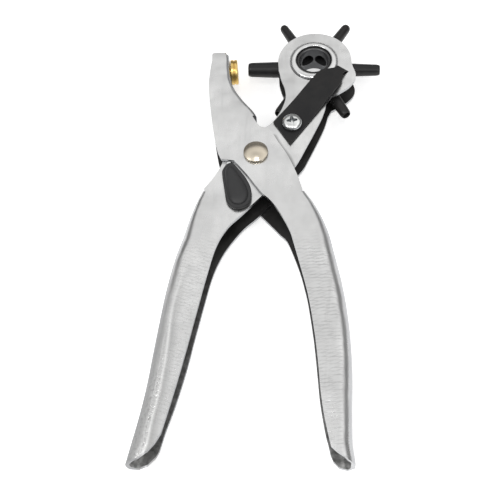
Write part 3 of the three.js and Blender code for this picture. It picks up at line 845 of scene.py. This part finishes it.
for sign, tag in ((1, "front"), (-1, "rear")):
    z = LOW
    r0 = BOSS_R + GAP
    profile = [
        (r0, z), (COLLAR_R - 0.05, z), (COLLAR_R, z + 0.1), (COLLAR_R - 0.12, z + 0.42),
        (COLLAR_R - 0.5, z + 0.78), (COLLAR_R - 1.1, z + 1.0), (COLLAR_R - 1.7, z + 1.1),
        (r0 + 0.6, z + 1.1), (r0 + 0.25, z + 1.0), (r0, z + 0.7),
    ]
    turn = Matrix.Identity(4) if sign > 0 else Matrix.Rotation(math.pi, 4, "X")
    ob = lathe("collar_%s_rolled" % tag, profile, 96, placed(*TURRET, MID) @ turn, True, 50)
    piece(ob, "punch_side", "nickel_steel", M_COLLAR, "collar_" + tag)


# ---------------------------------------------------------------- index spring, its screw and nut

TAB = STRIP_LENGTH - 0.55
SLANT_LENGTH = 10.0
centre = smooth([
    (0, LOW), (6, LOW), (14, LOW), (20, LOW + 0.35), (28, HIGH - 0.35), (33, HIGH), (40, HIGH),
], 44)
centre += smooth([(41.5, HIGH), (TAB - 2.0, HIGH - 0.04), (TAB - 0.6, HIGH - 0.55), (TAB, HIGH - 1.6)], 12)
centre += [(TAB, HIGH - 2.2), (TAB, 4.9)]
# Edges of the strip, as (distance along it, distance from its middle line).
left_edge = [(2.4, 6.9), (36.6, 7.2), (38.8, 6.8), (40.4, 5.4), (43.4, 2.5), (60, 2.3)]
right_edge = [
    (-3.0, 7.4), (0, 7.0), (22.0, 5.9), (36.0, 5.5), (39.2, 4.9), (41.4, 3.9), (43.0, 2.7), (60, 2.5),
]


def width_at(edge, s):
    """Distance of an edge from the strip's middle line, at s along it."""
    for (s0, w0), (s1, w1) in zip(edge, edge[1:]):
        if s <= s1:
            return w0 + (w1 - w0) * (s - s0) / (s1 - s0)
    return edge[-1][1]


def end_slant(s, t):
    """How far this point is drawn along the strip, so that its screw end is cut on the slant."""
    (left_end, left_width), (right_end, right_width) = left_edge[0], right_edge[0]
    across = (t + left_width) / (left_width + right_width)
    return max(0.0, 1.0 - s / SLANT_LENGTH) * (left_end + across * (right_end - left_end))


bm = bmesh.new()
side = normals(centre)
rows = []
for (s, z), (ns, nz) in zip(centre, side):
    left = width_at(left_edge, s)
    right = width_at(right_edge, s)
    row = []
    for t, up in ((-left, 0), (right, 0), (right, STRIP_T), (-left, STRIP_T)):
        x, y = strip_point(s + up * ns + end_slant(s, t), t)
        row.append(bm.verts.new((x * MM, y * MM, (MID + z + up * nz) * MM)))
    rows.append(row)
for a, b in zip(rows, rows[1:]):
    for j in range(4):
        k = (j + 1) % 4
        bm.faces.new([a[j], a[k], b[k], b[j]])
bm.faces.new(rows[0])
bm.faces.new(rows[-1])
strip = bevel(finish_mesh(bm, "index_spring_strip", 40), 0.12, 2, 50)
piece(strip, "punch_side", "black_oxide", M_STRIP, "index_spring")

head_z = LOW + STRIP_T + GAP
screw = lathe("index_screw_pan", [
    (0, 1.6), (SCREW_R - 0.3, 1.6), (SCREW_R, 1.9), (SCREW_R, head_z), (4.45, head_z),
    (SCREW_HEAD_R, head_z + 0.15), (SCREW_HEAD_R, head_z + 0.8), (4.5, head_z + 1.2),
    (4.15, head_z + 1.75), (3.5, head_z + 2.15), (2.4, head_z + 2.4), (0, head_z + 2.5),
], 64)
ARM = [(-2.7, -0.5), (-0.9, -1.0), (0.9, -1.0), (2.7, -0.5), (2.7, 0.5), (0.9, 1.0), (-0.9, 1.0), (-2.7, 0.5)]
cross = bmesh.new()
for turn in (9, 99):
    c = math.cos(math.radians(turn))
    d = math.sin(math.radians(turn))
    loops = [[(x * k * c - y * k * d, x * k * d + y * k * c) for x, y in ARM] for k in (0.45, 1.05)]
    low = [cross.verts.new((x * MM, y * MM, (head_z + 0.5) * MM)) for x, y in loops[0]]
    top = [cross.verts.new((x * MM, y * MM, (head_z + 2.9) * MM)) for x, y in loops[1]]
    for j in range(len(ARM)):
        k = (j + 1) % len(ARM)
        cross.faces.new([low[j], low[k], top[k], top[j]])
    cross.faces.new(low[::-1])
    cross.faces.new(top)
carve(screw, inked(finish_mesh(cross, "cross_cutter", weld=1e-9)))
screw.data.transform(placed(*screw_at, MID))
piece(screw, "punch_side", "nickel_steel", [M_SCREW, M_RECESS_SHADE], "index_screw")

corners = [math.radians(30 + 60 * i) + STRIP_ANGLE for i in range(6)]
hexagon = [
    (screw_at[0] + NUT_CORNER_R * math.cos(a), screw_at[1] + NUT_CORNER_R * math.sin(a)) for a in corners
]
bm = bmesh.new()
prism(bm, hexagon, [circle(*screw_at, SCREW_R + GAP, 32)], MID + 2.2, MID + 4.6)
nut = bevel(finish_mesh(bm, "index_nut_hex", 25), 0.25, 2, 30)
piece(nut, "punch_side", "nickel_steel", M_SCREW, "index_nut")


# ---------------------------------------------------------------- latch

flange = smooth([
    (-10.9, -5.2), (-12.8, -6.2), (-14.5, -9.4), (-14.2, -13.0), (-13.1, -18.6), (-11.8, -24.8),
    (-10.2, -27.4), (-7.4, -29.1), (-4.4, -28.6), (-1.8, -26.6), (-0.8, -23.4), (-1.2, -19.0),
    (-2.9, -14.8), (-5.2, -11.2), (-8.2, -7.4), (-9.7, -5.7), (-10.9, -5.2),
], 72)[:-1]
pad = smooth([
    (-11.3, -7.4), (-12.9, -9.4), (-12.9, -13.0), (-11.9, -18.4), (-10.7, -23.4), (-9.2, -26.4),
    (-6.8, -27.6), (-4.2, -26.8), (-2.6, -24.2), (-2.6, -20.8), (-4.2, -16.6), (-6.8, -12.4),
    (-9.4, -8.6), (-11.3, -7.4),
], 72)[:-1]
catch = [
    (-11.2, -4.2), (-13.0, -4.6), (-13.4, -8.2), (-12.8, -12.4), (-9.6, -12.4), (-8.6, -9.4), (-9.6, -6.4),
]
catch_room = [
    (-10.6, -3.5), (-13.5, -4.0), (-13.8, -8.2), (-13.2, -12.9), (-9.2, -12.9), (-8.1, -9.4), (-8.8, -5.9),
]
# Rounding of the latch: (inset, height) of the flange, then (share towards the spine, height) of the pad.
FLANGE_LEVELS = [(0.25, 0.0), (0.0, 0.25), (0.0, 1.2), (0.12, 1.55), (0.45, 1.8)]
PAD_LEVELS = [
    (-0.04, 1.82), (-0.01, 1.95), (0.0, 2.2), (0.04, 2.5), (0.12, 2.78), (0.24, 3.04), (0.40, 3.27),
    (0.58, 3.44), (0.78, 3.55),
]
PAD_SPINE = ((-11.0, -11.0), (-6.4, -22.6))


def inward(loop, d):
    """The outline, drawn in evenly by d."""
    out = []
    for i, p in enumerate(loop):
        a = loop[i - 1]
        b = loop[(i + 1) % len(loop)]
        size = math.hypot(b[0] - a[0], b[1] - a[1])
        out.append((p[0] + d * (a[1] - b[1]) / size, p[1] + d * (b[0] - a[0]) / size))
    return out


def stack(name, levels, sharp=60):
    """Closed body through outlines of one point count, one above the other: levels of (outline, height)."""
    bm = bmesh.new()
    rows = [[bm.verts.new((x * MM, y * MM, (MID + z) * MM)) for x, y in loop] for loop, z in levels]
    for a, b in zip(rows, rows[1:]):
        for i in range(len(a)):
            j = (i + 1) % len(a)
            bm.faces.new([a[i], a[j], b[j], b[i]])
    bm.faces.new(rows[0][::-1])
    bm.faces.new(rows[-1])
    return finish_mesh(bm, name, sharp)


def towards_spine(loop, share):
    """Draws an outline in towards the pad's middle line."""
    (ax, ay), (bx, by) = PAD_SPINE
    out = []
    for x, y in loop:
        k = ((x - ax) * (bx - ax) + (y - ay) * (by - ay)) / ((bx - ax) ** 2 + (by - ay) ** 2)
        k = min(max(k, 0.0), 1.0)
        out.append((x + share * (ax + k * (bx - ax) - x), y + share * (ay + k * (by - ay) - y)))
    return out


levels = [(inward(flange, d), LOW + z) for d, z in FLANGE_LEVELS]
levels += [(towards_spine(pad, share), LOW + z) for share, z in PAD_LEVELS]
latch_base = stack("latch_thumb_lever", levels)
bm = bmesh.new()
prism(bm, catch_room, [], MID + LOW - 1, MID + LOW + 1.2)
bmesh.ops.create_cone(
    bm, cap_ends=True, segments=32, radius1=LATCH_BORE_R * MM, radius2=LATCH_BORE_R * MM, depth=3.2 * MM,
    matrix=Matrix.Translation((LATCH_PIN[0] * MM, LATCH_PIN[1] * MM, (MID + LOW + 0.6) * MM)))
carve(latch_base, finish_mesh(bm, "latch_cutter", weld=1e-9))
piece(latch_base, "latch", "black_plastic", M_PLASTIC, "latch_body")

bm = bmesh.new()
prism(bm, catch, [], MID + LOW, MID + LOW + 0.9)
catch_ob = bevel(finish_mesh(bm, "latch_catch_plate", 25), 0.2, 3, 30)
piece(catch_ob, "latch", "nickel_steel", M_SCREW, "latch_catch")

pin = lathe("latch_pin_turned", [
    (0, 3.8), (2.7, 3.8), (3.0, 4.1), (3.0, 4.6), (1.7, 4.6), (1.7, LOW + 1.7), (1.5, LOW + 1.9),
    (0, LOW + 1.9),
], 40, placed(*LATCH_PIN, MID))
piece(pin, "punch_side", "nickel_steel", M_SCREW, "latch_pin")


# ---------------------------------------------------------------- return spring

COIL_R = 5.6
WIRE_R = 0.75
TURNS = 4.3
START = math.radians(200)
LEGS = 0.12
LEG_LENGTH = 20
COIL_HEIGHT = 7.2
COIL_STEPS = 220
curve = bpy.data.curves.new("return_spring_wire", "CURVE")
curve.dimensions = "3D"
curve.bevel_depth = WIRE_R * MM
curve.bevel_resolution = 3
curve.use_fill_caps = True
spline = curve.splines.new("POLY")
spline.points.add(COIL_STEPS)
for i in range(COIL_STEPS + 1):
    u = i / COIL_STEPS
    v = min(max((u - LEGS) / (1 - 2 * LEGS), 0), 1)
    a = START + v * TURNS * 2 * math.pi
    out = (LEGS - u) / LEGS if u < LEGS else max((u - 1 + LEGS) / LEGS, 0)
    way = 1 if u < LEGS else -1
    x = COIL_R * math.cos(a) + way * out * LEG_LENGTH * math.sin(a)
    y = COIL_R * math.sin(a) - way * out * LEG_LENGTH * math.cos(a)
    spline.points[i].co = (x * MM, y * MM, (MID - COIL_HEIGHT / 2 + COIL_HEIGHT * v) * MM, 1)
coil = bpy.data.objects.new("return_spring_wire", curve)
bpy.context.scene.collection.objects.link(coil)
piece(coil, "punch_side", "spring_steel", M_WIRE, "return_spring")


# ---------------------------------------------------------------- floor, light, camera

FLOOR_SIZE = 3.0
FLOOR_GLOW = 0.45
bm = bmesh.new()
bmesh.ops.create_grid(bm, x_segments=1, y_segments=1, size=FLOOR_SIZE)
floor = finish_mesh(bm, "floor")
n = Net("pale_floor")
pale = n.colours(n.span(n.noise(6.0, 2.0), 0.3, 0.7), (0.90, 0.90, 0.90), (0.93, 0.93, 0.93))
n.put(n.s.inputs["Base Color"], pale)
n.put(n.s.inputs["Roughness"], n.span(n.noise(30.0, 2.0), 0.3, 0.7, 0.75, 0.85))
n.s.inputs["Emission Color"].default_value = (1.0, 1.0, 1.0, 1.0)
n.s.inputs["Emission Strength"].default_value = FLOOR_GLOW
floor.data.materials.append(n.m)

world = bpy.data.worlds.new("studio")
bpy.context.scene.world = world
world.use_nodes = True
tree = world.node_tree
back = tree.nodes["Background"]
sky = tree.nodes.new("ShaderNodeTexCoord")
split = tree.nodes.new("ShaderNodeSeparateXYZ")
tree.links.new(sky.outputs["Generated"], split.inputs[0])
ramp = tree.nodes.new("ShaderNodeValToRGB")
ramp.color_ramp.interpolation = "EASE"
# Sky brightness by the height of the direction, 0 level and 1 straight up: dim low down, bright above 0.6.
SKY_STOPS = [(0.0, 0.42), (0.28, 0.45), (0.40, 0.30), (0.54, 0.34), (0.68, 1.66), (0.82, 1.80), (1.0, 1.12)]
while len(ramp.color_ramp.elements) < len(SKY_STOPS):
    ramp.color_ramp.elements.new(0.5)
for element, (at, level) in zip(ramp.color_ramp.elements, SKY_STOPS):
    element.position = at
    element.color = (level, level, level, 1.0)
tree.links.new(split.outputs["Z"], ramp.inputs["Fac"])
tree.links.new(ramp.outputs["Color"], back.inputs["Color"])


def faded(axis, start, end, first, last):
    """Brightness that goes from first to last while this part of the direction goes from start to end."""
    node = tree.nodes.new("ShaderNodeMapRange")
    node.interpolation_type = "SMOOTHSTEP"
    for socket, value in zip(list(node.inputs)[1:5], (start, end, first, last)):
        socket.default_value = value
    tree.links.new(split.outputs[axis], node.inputs["Value"])
    return node.outputs["Result"]


both = tree.nodes.new("ShaderNodeMath")
both.operation = "MULTIPLY"
tree.links.new(faded("Y", -0.1, 0.6, 1.0, 0.92), both.inputs[0])
tree.links.new(faded("X", -0.45, 0.32, 0.62, 0.74), both.inputs[1])
tree.links.new(both.outputs[0], back.inputs["Strength"])
bpy.context.scene.view_settings.view_transform = "Standard"


def lamp(name, place, aim, size, power):
    """Rectangular soft light, aimed at a point."""
    data = bpy.data.lights.new(name, "AREA")
    data.shape = "RECTANGLE"
    data.size = size[0]
    data.size_y = size[1]
    data.energy = power
    ob = bpy.data.objects.new(name, data)
    ob.location = place
    ob.rotation_euler = (Vector(aim) - Vector(place)).to_track_quat("-Z", "Y").to_euler()
    bpy.context.scene.collection.objects.link(ob)


lamp("key", (-0.50, -0.30, 0.75), (0, -0.03, 0), (0.30, 0.30), 1.6)
lamp("spark", (0.0, -0.13, 0.58), (0, 0, 0), (0.09, 0.09), 0.25)
lamp("fill", (0.55, -0.45, 0.65), (0, -0.03, 0), (0.3, 0.5), 1.0)

# Camera matched to the photograph.
CAMERA_AT = (0.03126, -0.24449, 0.36221)
CAMERA_TURN = (29.63, 3.46, 3.06)
cam = bpy.data.cameras.new("camera")
cam.sensor_width = 36.0
cam.lens = 67.7
cam.clip_start = 0.01
camera = bpy.data.objects.new("camera", cam)
camera.location = CAMERA_AT
camera.rotation_euler = [math.radians(turn) for turn in CAMERA_TURN]
bpy.context.scene.collection.objects.link(camera)
bpy.context.scene.camera = camera
